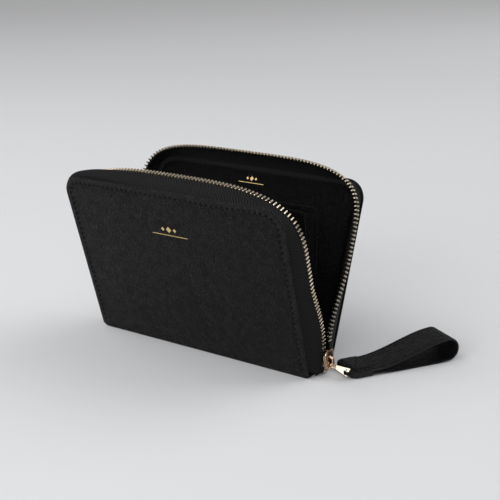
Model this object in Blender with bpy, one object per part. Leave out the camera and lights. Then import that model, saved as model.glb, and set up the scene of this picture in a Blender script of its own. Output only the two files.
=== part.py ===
"""A zip-around wallet with a wrist strap, standing open on its spine.

Frame: the origin is the middle of the spine's underside, +X runs along the spine towards the
strap, +Y to the rear cover and +Z up. Each cover is built flat in its own hinge frame, where x
runs along the spine, y into the wallet and z up the cover, and an empty on the hinge leans it.
"""

from math import cos, hypot, pi, radians, sin, tan

import bmesh
import bpy
from mathutils import Matrix, Vector

# Driving dimensions, in metres and radians.
LENGTH = 0.135  # along the spine
HEIGHT = 0.095  # up each cover, from its hinge
DEPTH = 0.024  # across the closed wallet
FRONT_LEAN = radians(16.5)
REAR_LEAN = radians(20.0)
FOLD_RADIUS = 0.0015  # of the rolled leather at each fold
GAP = 0.0003  # left between pieces that touch
COVER_CORNER = 0.011

LEATHER = 0.0012
BOARD = 0.0008
LINING = 0.0005
TAPE = 0.0005
WALL = 0.0009
BOARD_INSET = 0.0065  # from the cover's edge
BOARD_FOOT = 0.005
BOARD_CORNER = 0.005
LINING_INSET = 0.0035
LINING_FOOT = 0.003
LINING_CORNER = 0.012
SLOT_STEP_IN = 0.001  # each pocket layer is this much narrower than the one behind it
SLOT_CORNER = 0.002
FRONT_SLOT_TOPS = (0.080, 0.067, 0.054)
REAR_SLOT_TOPS = (0.079,)

HINGE_Y = DEPTH / 2 - FOLD_RADIUS
HALF = LENGTH / 2
SIDE_SPLAY = 0.0029  # how far the zip stands out past the covers' ends
SLIDER_X = HALF + SIDE_SPLAY
SPINE_LEATHER = 0.0013
SPINE_LINING_INSET = 0.0015  # from the spine's ends
END_TAB_SKIN = 0.0008
END_TAB_WIDTH = 0.0124
END_TAB_HEIGHT = 0.0024
BOTTOM_STOP_LENGTH = 0.0020
BOTTOM_STOP_WIDTH = 0.0032
BOTTOM_STOP_HEIGHT = 0.0018
BOTTOM_STOP_LOW = 0.0006
STOP_HALF = 0.0010  # half the width of a top stop
STOP_HEIGHT = 0.0026
TEETH_PITCH = 0.0021
TEETH_THICKNESS = 0.0017
TEETH_REACH = HINGE_Y - GAP  # the heads just meet when the wallet is shut
ROW_GAP = 0.0016  # half the distance between the rows in the slider's mouth
CONVERGE_LOW = 0.013  # below this height the rows lie in the slider
CONVERGE_HIGH = 0.050  # above it they stand free
CONVERGE_EASE = 1.6
# The line of each row: the height of its shoulders, its crest, and how square its arch is at the
# slider's end and at the far end.
FRONT_ARCH = (HEIGHT - 0.035, HEIGHT + 0.0034, 3.45, 3.2)
REAR_ARCH = (HEIGHT - 0.032, HEIGHT + 0.0054, 3.7, 4.3)
TEETH_FOOT = 0.0105  # the first tooth, up the cover
TOOTH_LENGTH = 0.0020  # of a head, from its root on the tape
TOOTH_NOTCH = 0.0008  # how far the comb stands back between two teeth
TAPE_FLANGE = 0.005  # of the tape, sewn under the lining
TAPE_BELLY = 0.75  # where the tape's wall bends, as shares of its width and of its height
TAPE_BELLY_RISE = 0.42
TAPE_STATIONS = 56
TAPE_HEM = 0.002  # the tape runs this far below the hinge
ARCH_STEPS = 48

SLIDER_LOW = 0.0032
SLIDER_HIGH = 0.0132
SLIDER_HALF_WIDTH = 0.0042
SLIDER_CHANNEL = 0.0013  # half the space between the slider's plates
SLIDER_PLATE = 0.0009
SLIDER_POST = 0.0014  # across, and it is set back a little from the mouth's edge
SLIDER_POST_TALL = 0.0020
SLIDER_POST_BACK = 0.0002
SLIDER_POST_BITE = 0.0004  # how far the post runs into each plate
BRIDGE_RISE = 0.0024  # the bridge's outer face, from its feet
BRIDGE_BAR = 0.0008
BRIDGE_LEG = 0.0010
BRIDGE_WIDTH = 0.0018
PULL_HINGE = Vector((SLIDER_X + 0.00315, 0.0, 0.0054))
PULL_EYE_START = 0.0003
PULL_EYE_END = 0.0030
PULL_NECK = 0.0038  # where the plate starts to twist and widen
PULL_HALF = 0.0019
PULL_WIDENS = 0.0006
PULL_BORDER = 0.74  # the slot's half width, as a share of the plate's
PULL_SLOT_START = 0.0066  # along the puller from its hinge
PULL_SLOT_END = 0.0090
PULL_END_BAR = 0.0008
PULL_PLATE = 0.0009
PULL_SLOPE = radians(11.0)
PULL_TWIST = radians(55.0)

STRAP_WIDTH = 0.019
STRAP_LEATHER = 0.0011
STRAP_LENGTH = 0.060
STRAP_NOSE = 0.0062  # radius of the loop's round end
STRAP_NOSE_LIFT = 0.0006  # the round end stands this far off the floor
STRAP_LEAVES = 0.0008  # where the loop's bands part, from the tab's end
STRAP_FLAT = (0.046, 0.018)  # the lower band lies flat between these
STRAP_STEPS = 14
STRAP_HEADING = radians(58.0)
STRAP_OFFSET = 0.0070  # from the tongue to the strap's middle line
STRAP_BASE = 0.0046  # from the tongue's axis to the loop's sewn ends
TAB_LIFT = 0.0010  # the tab's lower skin holds the loop's base off the floor
TAB_SKIN = 0.0007
TAB_REACH = 0.0110
TONGUE_RADIUS = 0.0023
TONGUE_REACH = 0.0029
TONGUE_WIDTH = 0.0017
TONGUE_SKIN = 0.0006

COIN_WALL_HALF = HALF - 0.0045
COIN_HEIGHT = 0.081
COIN_FOOT = 0.0037
COIN_LEAN = radians(6.0)
COIN_BACK_FACE = 0.0009
COIN_FRONT_FACE = -0.0013
COIN_ZIP_Z = 0.0760
COIN_ZIP_HALF = 0.0560
GUSSET_FOLD = 0.77  # the crease's depth, for a half width of one
GUSSET_SKIN = 0.00065  # along the spine
GUSSET_DROP = 0.0025  # from the walls' tops
COIN_TEETH_HALF = 0.0013
COIN_TEETH_START = 0.0035  # from the end of its tape, under the slider
COIN_TEETH_PITCH = 0.0010  # from a tooth to the gap beside it
COIN_TOOTH_TALL = 0.0006
COIN_STOP_LENGTH = 0.0016
COIN_STOP_INSET = 0.0095  # leaves room for the puller beyond the open slider
COIN_SLIDER_LENGTH = 0.0070
COIN_SLIDER_HALF = 0.0024
COIN_SLIDER_PLATE = 0.0007
COIN_SLIDER_CHANNEL = 0.0010
COIN_SLIDER_OVERHANG = 0.0012  # past the end of its tape
COIN_POST = 0.0010
COIN_POST_LENGTH = 0.0014
COIN_BRIDGE_WIRE = 0.0008
COIN_BRIDGE_WIDTH = 0.0012
COIN_PULL_HALF = 0.0018
COIN_PULL_TIP_HALF = 0.0011
COIN_PULL_LENGTH = 0.0140
COIN_PULL_TAPERS = 0.0120  # where the puller starts to narrow
COIN_PULL_EYE_END = 0.0024
COIN_PULL_PLATE = 0.0007
COIN_BRIDGE_HIGH = 0.0023


def clear_scene():
    for thing in list(bpy.data.objects):
        bpy.data.objects.remove(thing)


def principled(name, colour, roughness, metallic=0.0):
    material = bpy.data.materials.new(name)
    material.use_nodes = True
    shader = material.node_tree.nodes["Principled BSDF"]
    shader.inputs["Base Color"].default_value = (*colour, 1.0)
    shader.inputs["Roughness"].default_value = roughness
    shader.inputs["Metallic"].default_value = metallic
    return material


def empty(name, location, rotation=(0.0, 0.0, 0.0), parent=None):
    frame = bpy.data.objects.new(name, None)
    frame.location = location
    frame.rotation_euler = rotation
    frame.parent = parent
    frame.empty_display_size = 0.01
    bpy.context.scene.collection.objects.link(frame)
    return frame


def add(name, bm, material, parent=None, location=(0.0, 0.0, 0.0), smooth=True):
    """Turns a bmesh into one named object, in its parent's frame."""
    bmesh.ops.recalc_face_normals(bm, faces=bm.faces)
    mesh = bpy.data.meshes.new(name)
    bm.to_mesh(mesh)
    bm.free()
    mesh.materials.append(material)
    if smooth:
        mesh.shade_smooth()
        mesh.set_sharp_from_angle(angle=radians(35))
    thing = bpy.data.objects.new(name, mesh)
    thing.location = location
    thing.parent = parent
    bpy.context.scene.collection.objects.link(thing)
    return thing


def block(low, high):
    """A box between two corners."""
    bm = bmesh.new()
    size = [b - a for a, b in zip(low, high)]
    centre = [(a + b) / 2 for a, b in zip(low, high)]
    bmesh.ops.create_cube(bm, size=1.0)
    bmesh.ops.scale(bm, vec=size, verts=bm.verts)
    bmesh.ops.translate(bm, vec=centre, verts=bm.verts)
    return bm


def extruded(outline, place, along):
    """A prism: place maps each outline point to space, and along is the extrusion vector."""
    bm = bmesh.new()
    face = bm.faces.new([bm.verts.new(place(*point)) for point in outline])
    grown = bmesh.ops.extrude_face_region(bm, geom=[face])
    top = [item for item in grown["geom"] if isinstance(item, bmesh.types.BMVert)]
    bmesh.ops.translate(bm, vec=along, verts=top)
    return bm


def lofted(rings):
    """A skin through rings of equal count, capped at both ends."""
    bm = bmesh.new()
    loops = [[bm.verts.new(point) for point in ring] for ring in rings]
    count = len(loops[0])
    for near, far in zip(loops, loops[1:]):
        for i in range(count):
            j = (i + 1) % count
            bm.faces.new((near[i], near[j], far[j], far[i]))
    bm.faces.new(loops[0])
    bm.faces.new(loops[-1])
    return bm


def arc(centre, radius, start, end, steps):
    angles = [start + (end - start) * i / steps for i in range(steps + 1)]
    return [(centre[0] + radius * cos(a), centre[1] + radius * sin(a)) for a in angles]


def panel_outline(half, low, high, top_radius, foot_radius=0.0):
    """A panel's outline with round top corners, anticlockwise from its lower right corner."""
    points = [(half, low)]
    if foot_radius:
        points = arc((half - foot_radius, low + foot_radius), foot_radius, -pi / 2, 0.0, 3)
    points += arc((half - top_radius, high - top_radius), top_radius, 0.0, pi / 2, 7)
    return points + [(-x, z) for x, z in reversed(points)]


def panel(name, inset, thickness_from, thickness, high, radius, material, parent, low=LINING_FOOT):
    """A flat layer of a cover: inset from its ends, standing from low to high."""
    outline = panel_outline(HALF - inset, low, high, radius)
    bm = extruded(outline, lambda x, z: (x, thickness_from, z), (0.0, thickness, 0.0))
    return add(name, bm, material, parent)


def resampled(points, spacing=None, count=None):
    """Points at equal distances along a polyline."""
    lengths = [0.0]
    for a, b in zip(points, points[1:]):
        lengths.append(lengths[-1] + hypot(b[0] - a[0], b[1] - a[1]))
    count = count or max(2, round(lengths[-1] / spacing))
    result = []
    k = 0
    for i in range(count + 1):
        target = lengths[-1] * i / count
        while k < len(points) - 2 and lengths[k + 1] < target:
            k += 1
        span = lengths[k + 1] - lengths[k]
        t = (target - lengths[k]) / span
        a, b = points[k], points[k + 1]
        result.append((a[0] + (b[0] - a[0]) * t, a[1] + (b[1] - a[1]) * t))
    return result


def base_path(foot):
    """Where the tape leaves the cover: 1 mm inside its edge, from the left foot to the right."""
    inset = 0.001
    half, high, radius = HALF - inset, HEIGHT - inset, COVER_CORNER - inset
    right = [(half, foot)] + arc((half - radius, high - radius), radius, 0.0, pi / 2, 24)
    return [(-x, z) for x, z in right] + list(reversed(right))


def tip_path(foot, slider_side, shoulder, crest, near_power, far_power):
    """The line of the teeth: straight sides and one superelliptic arch over the top."""
    half = HALF + SIDE_SPLAY
    arch = []
    for i in range(ARCH_STEPS + 1):
        share = -cos(pi * i / ARCH_STEPS)  # along the spine, from -1 to 1
        power = near_power if slider_side * share > 0.0 else far_power
        rise = max(0.0, 1.0 - abs(share) ** power) ** (1.0 / power)
        arch.append((half * share, shoulder + (crest - shoulder) * rise))
    return [(-half, foot)] + arch + [(half, foot)]


def outward(points, i):
    """The unit normal of a left-to-right path that points away from the cover."""
    a = Vector(points[max(i - 1, 0)])
    b = Vector(points[min(i + 1, len(points) - 1)])
    run = (b - a).normalized()
    return Vector((-run.y, run.x))


def reach(x, z, lean, slider_side):
    """How far into the wallet the teeth's heads stand, at a place on the cover.

    The rows lean together at the slider's end of the cover only.
    """
    if slider_side * x < 0.0:
        return TEETH_REACH
    joined = (HINGE_Y - ROW_GAP + z * sin(lean)) / cos(lean)
    t = min(1.0, max(0.0, (z - CONVERGE_LOW) / (CONVERGE_HIGH - CONVERGE_LOW)))
    return TEETH_REACH + (joined - TEETH_REACH) * (1.0 - t) ** CONVERGE_EASE


def zip_tape(name, arch, lean, slider_side, material, parent):
    """The woven tape: a flange under the lining, then a wall that rises to the teeth."""
    base = resampled(base_path(LINING_FOOT), count=TAPE_STATIONS)
    tip = resampled(tip_path(-TAPE_HEM, slider_side, *arch), count=TAPE_STATIONS)
    rings = []
    for i, (b, t) in enumerate(zip(base, tip)):
        out = outward(base, i)
        edge = reach(*t, lean, slider_side) - TOOTH_LENGTH - GAP
        belly = TAPE_BELLY_RISE * edge
        b, t = Vector(b), Vector(t)
        inward_end = b - TAPE_FLANGE * out
        middle = b.lerp(t, TAPE_BELLY)
        outer = [(inward_end, 0.0), (b, 0.0), (middle, belly), (t, edge)]
        thin = TAPE * out
        inner = [(t - thin, edge), (middle - thin, belly), (b - thin, TAPE), (inward_end, TAPE)]
        rings.append([(p.x, n, p.y) for p, n in outer + inner])
    return add(name, lofted(rings), material, parent)


def zip_teeth(name, arch, lean, slider_side, shift, material, parent):
    """A row of teeth as one comb: thick at each tooth, thin between two."""
    path = resampled(tip_path(TEETH_FOOT, slider_side, *arch), spacing=TEETH_PITCH / 2)
    rings = []
    for i, (x, z) in enumerate(path):
        tooth = (i + shift) % 2 == 0
        out = outward(path, i) * (TEETH_THICKNESS / 2 if tooth else TEETH_THICKNESS / 4)
        tip = reach(x, z, lean, slider_side)
        head = tip if tooth else tip - TOOTH_NOTCH
        root = tip - TOOTH_LENGTH
        corners = [(-1, root), (1, root), (1, head), (-1, head)]
        rings.append([(x + s * out.x, n, z + s * out.y) for s, n in corners])
    return add(name, lofted(rings), material, parent, smooth=False)


def top_stop(name, slider_side, material, parent):
    """The metal stop that ends one row, below its first tooth at the end away from the slider."""
    ends = sorted((-slider_side * (SLIDER_X - STOP_HALF), -slider_side * (SLIDER_X + STOP_HALF)))
    high = TEETH_FOOT - GAP
    low_corner = (ends[0], TEETH_REACH - TOOTH_LENGTH, high - STOP_HEIGHT)
    add(name, block(low_corner, (ends[1], TEETH_REACH, high)), material, parent)


def make_cover(side, frame, lean, arch, slider_side, slots, materials):
    """Everything that is sewn into one cover, in the cover's hinge frame."""
    leather, board, lining, tape, brass = materials
    outline = panel_outline(HALF, FOLD_RADIUS + GAP, HEIGHT, COVER_CORNER, 0.002)
    skin = extruded(outline, lambda x, z: (x, -FOLD_RADIUS, z), (0.0, LEATHER, 0.0))
    add(side + "_outer_leather", skin, leather, frame)
    low, high = BOARD_FOOT, HEIGHT - BOARD_INSET
    panel(side + "_board", BOARD_INSET, 0.0, BOARD, high, BOARD_CORNER, board, frame, low)
    face = BOARD + GAP
    high = HEIGHT - LINING_INSET
    panel(side + "_lining", LINING_INSET, face, LINING, high, LINING_CORNER, lining, frame)
    for number, (name, high) in enumerate(slots, 1):
        start = face + number * (LINING + GAP)
        inset = LINING_INSET + number * SLOT_STEP_IN
        panel(name, inset, start, LINING, high, SLOT_CORNER, lining, frame)
    zip_tape(side + "_zip_tape", arch, lean, slider_side, tape, frame)
    shift = 0 if slider_side > 0 else 1  # a tooth of one row meets a gap of the other
    zip_teeth(side + "_zip_teeth", arch, lean, slider_side, shift, brass, frame)
    top_stop(side + "_zip_top_stop", slider_side, brass, frame)


def make_fold(name, frame, material):
    """The rolled leather between the spine and a cover, round about the hinge."""
    bm = bmesh.new()
    bmesh.ops.create_cone(
        bm, cap_ends=True, segments=20, radius1=FOLD_RADIUS, radius2=FOLD_RADIUS, depth=LENGTH
    )
    bmesh.ops.rotate(bm, matrix=Matrix.Rotation(pi / 2, 3, "Y"), verts=bm.verts)
    add(name, bm, material, frame)


def make_spine(leather, lining, brass):
    """The strip that the wallet stands on, and the tabs and stop that end the zip."""
    edge = HINGE_Y - FOLD_RADIUS - GAP
    add("spine_leather", block((-HALF, -edge, 0.0), (HALF, edge, SPINE_LEATHER)), leather)
    end, low = HALF - SPINE_LINING_INSET, SPINE_LEATHER + GAP
    add("spine_lining", block((-end, -edge, low), (end, edge, low + LINING)), lining)
    half, high = END_TAB_WIDTH / 2, GAP + END_TAB_HEIGHT
    for name, side in (("zip_end_tab_left", -1), ("zip_end_tab_right", 1)):
        ends = sorted((side * (HALF + GAP), side * (HALF + GAP + END_TAB_SKIN)))
        add(name, block((ends[0], -half, GAP), (ends[1], half, high)), leather)
    x, half = HALF + 2 * GAP + END_TAB_SKIN, BOTTOM_STOP_WIDTH / 2
    low, high = BOTTOM_STOP_LOW, BOTTOM_STOP_LOW + BOTTOM_STOP_HEIGHT
    stop = block((x, -half, low), (x + BOTTOM_STOP_LENGTH, half, high))
    add("zip_bottom_stop", stop, brass)


def slider_plate(x_low, x_high, half_width, z_low, z_high):
    """A slider's plate: wide shoulders at its mouth and a narrower tail."""
    tail, shoulder = 0.66 * half_width, z_low + 0.62 * (z_high - z_low)
    outline = [(tail, z_low), (half_width, shoulder), (half_width, z_high - 0.0012)]
    outline += [(0.75 * half_width, z_high)]
    outline += [(-y, z) for y, z in reversed(outline)]
    return extruded(outline, lambda y, z: (x_low, y, z), (x_high - x_low, 0.0, 0.0))


def fused(name, pieces, material, parent=None):
    """One closed body from overlapping bmeshes, by Boolean unions."""
    base = add(name, pieces[0], material, parent, smooth=False)
    for i, piece in enumerate(pieces[1:]):
        tool = add(f"{name}_joined_{i}", piece, material, parent, smooth=False)
        tool.hide_render = True
        tool.display_type = "WIRE"
        join = base.modifiers.new(f"join_{i}", "BOOLEAN")
        join.operation = "UNION"
        join.object = tool
    return base


def make_slider(gilt):
    inner = (SLIDER_X - SLIDER_CHANNEL - SLIDER_PLATE, SLIDER_X - SLIDER_CHANNEL)
    outer = (SLIDER_X + SLIDER_CHANNEL, SLIDER_X + SLIDER_CHANNEL + SLIDER_PLATE)
    size = (SLIDER_HALF_WIDTH, SLIDER_LOW, SLIDER_HIGH)
    plates = [slider_plate(*span, *size) for span in (inner, outer)]
    half, high = SLIDER_POST / 2, SLIDER_HIGH - SLIDER_POST_BACK
    post_low = (inner[1] - SLIDER_POST_BITE, -half, high - SLIDER_POST_TALL)
    post_high = (outer[0] + SLIDER_POST_BITE, half, high)
    fused("slider_body", plates + [block(post_low, post_high)], gilt)

    foot, bar_out = outer[1] + GAP, outer[1] + BRIDGE_RISE
    bar_in, leg, half = bar_out - BRIDGE_BAR, BRIDGE_LEG, BRIDGE_WIDTH / 2
    low, high = SLIDER_LOW + 0.0002, SLIDER_HIGH - 0.0032
    profile = [(foot, low), (bar_out, low), (bar_out, high), (foot, high)]
    profile += [(foot, high - leg), (bar_in, high - leg), (bar_in, low + leg), (foot, low + leg)]
    bridge = extruded(profile, lambda x, z: (x, -half, z), (0.0, BRIDGE_WIDTH, 0.0))
    add("slider_bridge", bridge, gilt, smooth=False)


def pierced_plate(columns, rows, holes, thickness, shape):
    """A plate on a grid of cells with some left out, bent by shape(x, y, z)."""
    bm = bmesh.new()
    levels = (-thickness / 2, thickness / 2)
    verts = {}
    for k, z in enumerate(levels):
        for i, x in enumerate(columns):
            for j, row in enumerate(rows):
                verts[i, j, k] = bm.verts.new(shape(x, row, z))
    cells = {(i, j) for i in range(len(columns) - 1) for j in range(len(rows) - 1)} - set(holes)
    for i, j in cells:
        square = ((i, j), (i + 1, j), (i + 1, j + 1), (i, j + 1))
        bm.faces.new([verts[a, b, 1] for a, b in square])
        bm.faces.new([verts[a, b, 0] for a, b in reversed(square)])
        beside = ((i, j - 1), (i + 1, j), (i, j + 1), (i - 1, j))
        for side, neighbour in enumerate(beside):
            if neighbour in cells:
                continue
            a, b = square[side], square[(side + 1) % 4]
            bm.faces.new([verts[(*a, 0)], verts[(*b, 0)], verts[(*b, 1)], verts[(*a, 1)]])
    loose = [vert for vert in bm.verts if not vert.link_faces]
    bmesh.ops.delete(bm, geom=loose, context="VERTS")
    return bm


def make_pull(gilt, frame):
    """The puller: an eye round the slider's bridge, and a plate that widens to the strap's slot."""
    columns = [-0.0004, PULL_EYE_START, PULL_EYE_END, PULL_NECK]
    columns += [(PULL_NECK + PULL_SLOT_START) / 2, PULL_SLOT_START]
    columns += [PULL_SLOT_END, PULL_SLOT_END + PULL_END_BAR]
    rows = [-1.0, -PULL_BORDER, PULL_BORDER, 1.0]

    def shape(x, row, z):
        t = min(1.0, max(0.0, (x - PULL_NECK) / (PULL_SLOT_START - PULL_NECK)))
        half = PULL_HALF + PULL_WIDENS * t
        turn = Matrix.Rotation(PULL_TWIST * t, 3, "X")
        return turn @ Vector((x, row * half, z))

    bm = pierced_plate(columns, rows, [(1, 1), (5, 1)], PULL_PLATE, shape)
    add("pull_tab", bm, gilt, frame, smooth=False)


def ribbon(path, width, thickness):
    """A band that follows (s, z) points: width across, and thickness to the right of the path."""
    rings = []
    near, far = -width / 2, width / 2
    for i, (s, z) in enumerate(path):
        out = outward(path, i) * thickness
        under_s, under_z = s - out.x, z - out.y
        rings.append([(s, near, z), (s, far, z), (under_s, far, under_z), (under_s, near, under_z)])
    return lofted(rings)


def strap_path():
    """The loop's outer side, from the top of its base, round the nose and back along the floor."""
    nose = Vector((STRAP_LENGTH - STRAP_NOSE, STRAP_NOSE + STRAP_NOSE_LIFT))
    top = 2 * STRAP_LEATHER + GAP + TAB_LIFT
    rise = [(0.0, top)]
    start = TAB_REACH + STRAP_LEAVES
    for i in range(STRAP_STEPS):
        t = i / STRAP_STEPS
        ease = t * t * (3 - 2 * t)
        height = top + (nose.y + STRAP_NOSE - top) * (0.25 * t + 0.75 * ease)
        rise.append((start + t * (nose.x - start), height))
    turn = arc(nose, STRAP_NOSE, pi / 2, -pi / 2, 10)
    flat_far, flat_near = STRAP_FLAT
    floor = [(flat_far + (flat_near - flat_far) * i / 3, 0.0) for i in range(4)]
    base = [(TAB_REACH + STRAP_LEAVES, TAB_LIFT), (TAB_REACH / 2, TAB_LIFT), (0.0, TAB_LIFT)]
    return rise + turn + floor + base


def hairpin(length, low, high, radius, steps=4):
    """A path that comes back on itself round two bends at s = 0."""
    lower = arc((0.0, low + radius), radius, -pi / 2, -pi, steps)
    upper = arc((0.0, high - radius), radius, pi, pi / 2, steps)
    return [(length, low)] + lower + upper + [(length, high)]


def make_strap(leather, frame, tongue_z):
    """The wrist loop, the tab sewn over its base, and the tongue through the puller's slot."""
    base = Matrix.Translation((STRAP_BASE, STRAP_OFFSET, 0.0))
    loop = ribbon(strap_path(), STRAP_WIDTH, STRAP_LEATHER)
    loop.transform(base)
    add("strap_loop", loop, leather, frame)

    high = TAB_LIFT + 2 * STRAP_LEATHER + 2 * GAP + TAB_SKIN
    tab = ribbon(hairpin(TAB_REACH, 0.0, high, 0.0009), STRAP_WIDTH - 0.0006, TAB_SKIN)
    tab.transform(Matrix.Translation((-0.0004, 0.0, 0.0)) @ base)
    add("strap_tab", tab, leather, frame)

    bend = hairpin(TONGUE_REACH, -TONGUE_RADIUS, TONGUE_RADIUS, TONGUE_RADIUS, 6)
    tongue = ribbon(bend, TONGUE_WIDTH, TONGUE_SKIN)
    tongue.transform(Matrix.Translation((0.0, 0.0, tongue_z)) @ Matrix.Rotation(pi / 2, 4, "X"))
    add("strap_tongue", tongue, leather, frame)


def make_coin_pocket(frame, leather, lining, tape, brass):
    """The middle pocket: two walls on one foot, folded gussets and a recessed zip."""
    x, foot, top = COIN_WALL_HALF, COIN_FOOT, COIN_FOOT + COIN_HEIGHT
    back = block((-x, COIN_BACK_FACE, foot), (x, COIN_BACK_FACE + WALL, top))
    add("coin_back_wall", back, leather, frame)
    front = block((-x, -WALL, 0.0), (x, 0.0, COIN_HEIGHT + 0.001))
    wall = add("coin_front_wall", front, leather, frame, (0.0, COIN_FRONT_FACE, foot))
    wall.rotation_euler.x = COIN_LEAN
    low = (-x + 0.002, COIN_FRONT_FACE - WALL, foot - 0.0012)
    add("coin_base", block(low, (x - 0.002, COIN_BACK_FACE + WALL, foot - GAP)), lining, frame)

    def inner_front(z):
        return COIN_FRONT_FACE - (z - foot) * tan(COIN_LEAN)

    mouth = x - 0.0006
    for name, side in (("coin_gusset_left", -1), ("coin_gusset_right", 1)):
        rings = []
        for z in (foot + 0.001, foot + COIN_HEIGHT - GUSSET_DROP):
            near, far = inner_front(z) + GAP, COIN_BACK_FACE - GAP
            crease = mouth - GUSSET_FOLD * (far - near) / 2
            ends = ((mouth, near), (crease, (near + far) / 2), (mouth, far))
            fold = [(side * a, b, z) for a, b in ends]
            fold += [(side * (a - GUSSET_SKIN), b, z) for a, b in reversed(ends)]
            rings.append(fold)
        add(name, lofted(rings), lining, frame, smooth=False)

    z, end = COIN_ZIP_Z, COIN_ZIP_HALF
    near, far = inner_front(z) + 2 * GAP, COIN_BACK_FACE - GAP
    middle, half = (near + far) / 2, COIN_TEETH_HALF
    front_edge, back_edge = middle - half - GAP, middle + half + GAP
    front_tape = block((-end, near, z), (end, front_edge, z + TAPE))
    back_tape = block((-end, back_edge, z), (end, far, z + TAPE))
    add("coin_tape_front", front_tape, tape, frame)
    add("coin_tape_back", back_tape, tape, frame)
    stop_x = end - COIN_STOP_INSET
    stop_end = stop_x + COIN_STOP_LENGTH
    stop = block((stop_x, middle - half, z - TAPE), (stop_end, middle + half, z + 2 * TAPE))
    add("coin_zip_stop", stop, brass, frame)

    rings = []
    at = -end + COIN_TEETH_START
    while at < stop_x - COIN_TEETH_PITCH:
        size = 1.0 if len(rings) % 2 == 0 else 0.6
        tall = COIN_TOOTH_TALL * size
        corners = ((-half, -tall), (half, -tall), (half, tall), (-half, tall))
        rings.append([(at, middle + a * size, z + TAPE / 2 + b) for a, b in corners])
        at += COIN_TEETH_PITCH
    add("coin_zip_teeth", lofted(rings), brass, frame, smooth=False)
    return middle


def make_coin_slider(frame, gilt, middle):
    """The small slider at the shut end of the coin zip, with its bridge and puller."""
    z, start = COIN_ZIP_Z + TAPE / 2, -COIN_ZIP_HALF - COIN_SLIDER_OVERHANG
    end, half = start + COIN_SLIDER_LENGTH, COIN_SLIDER_HALF
    inner, outer = COIN_SLIDER_CHANNEL, COIN_SLIDER_CHANNEL + COIN_SLIDER_PLATE
    plates = []
    for side in (-1, 1):
        low, high = sorted((z + side * inner, z + side * outer))
        plates.append(block((start, middle - half, low), (end, middle + half, high)))
    bite = GAP / 2  # how far the post runs into each plate
    post_low = (start + bite, middle - COIN_POST / 2, z - inner - bite)
    post_high = (start + bite + COIN_POST_LENGTH, middle + COIN_POST / 2, z + inner + bite)
    fused("coin_slider_body", plates + [block(post_low, post_high)], gilt, frame)

    wire, foot = COIN_BRIDGE_WIRE, z + outer + GAP
    near, far = start + wire, end - wire
    under, over = foot + COIN_BRIDGE_HIGH - wire, foot + COIN_BRIDGE_HIGH
    profile = [(near, foot), (near, over), (far, over), (far, foot)]
    profile += [(far - wire, foot), (far - wire, under), (near + wire, under), (near + wire, foot)]
    half = COIN_BRIDGE_WIDTH / 2
    bridge = extruded(profile, lambda x, y: (x, middle - half, y), (0.0, 2 * half, 0.0))
    add("coin_slider_bridge", bridge, gilt, frame, smooth=False)
    return Vector((far - 2 * wire, middle, foot + 0.0007))


def make_coin_pull(frame, gilt):
    eye = COIN_PULL_EYE_END
    columns = [-0.0004, 0.0003, eye, eye + 0.001, COIN_PULL_TAPERS, COIN_PULL_LENGTH]
    rows = [-1.0, -0.55, 0.55, 1.0]

    def shape(x, row, z):
        half = COIN_PULL_TIP_HALF if x > COIN_PULL_TAPERS else COIN_PULL_HALF
        return Vector((x, row * half, z))

    plate = pierced_plate(columns, rows, [(1, 1)], COIN_PULL_PLATE, shape)
    add("coin_pull_tab", plate, gilt, frame, smooth=False)


def main():
    clear_scene()
    leather = principled("black_leather", (0.012, 0.012, 0.013), 0.48)
    board = principled("stiffener_board", (0.25, 0.22, 0.18), 0.85)
    lining = principled("lining_leather", (0.010, 0.010, 0.011), 0.55)
    tape = principled("zip_tape", (0.011, 0.011, 0.012), 0.8)
    brass = principled("pale_gold_teeth", (0.83, 0.66, 0.42), 0.28, 1.0)
    gilt = principled("rose_gold_slider", (0.86, 0.60, 0.44), 0.22, 1.0)
    sewn = (leather, board, lining, tape, brass)

    make_spine(leather, lining, brass)
    front = empty("front_hinge", (0.0, -HINGE_Y, FOLD_RADIUS), (FRONT_LEAN, 0.0, 0.0))
    rear = empty("rear_hinge", (0.0, HINGE_Y, FOLD_RADIUS), (REAR_LEAN, 0.0, pi))
    make_fold("front_fold_roll", front, leather)
    make_fold("rear_fold_roll", rear, leather)
    kinds = ("slip_pocket", "card_slot_1", "card_slot_2")
    front_slots = [("front_" + kind, high) for kind, high in zip(kinds, FRONT_SLOT_TOPS)]
    rear_slots = [("rear_" + kind, high) for kind, high in zip(kinds, REAR_SLOT_TOPS)]
    make_cover("front", front, FRONT_LEAN, FRONT_ARCH, 1, front_slots, sewn)
    make_cover("rear", rear, REAR_LEAN, REAR_ARCH, -1, rear_slots, sewn)

    make_slider(gilt)
    pull = empty("pull_hinge", PULL_HINGE, (0.0, PULL_SLOPE, 0.0))
    make_pull(gilt, pull)
    end_bar = PULL_SLOT_END + PULL_END_BAR / 2
    tongue = PULL_HINGE + end_bar * Vector((cos(PULL_SLOPE), 0.0, -sin(PULL_SLOPE)))
    strap = empty("strap_swivel", (tongue.x, tongue.y, 0.0), (0.0, 0.0, STRAP_HEADING))
    make_strap(leather, strap, tongue.z)

    coin = empty("coin_pocket_pivot", (0.0, 0.0, 0.0))
    middle = make_coin_pocket(coin, leather, lining, tape, brass)
    coin_hinge = make_coin_slider(coin, gilt, middle)
    make_coin_pull(empty("coin_pull_hinge", coin_hinge, parent=coin), gilt)


main()
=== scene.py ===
"""A black leather zip-around wallet with a wrist strap, standing open on its spine.

Every visible piece is modelled here; all but the covers' zip tapes and teeth ride on the CAD
body they belong to. Lengths are in metres. Pieces of a cover are laid out flat in the cover's
hinge frame: x along the spine, n into the wallet and v up the cover.
"""

from math import cos, hypot, pi, radians, sin, tan

import bpy
from mathutils import Matrix, Vector


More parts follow.
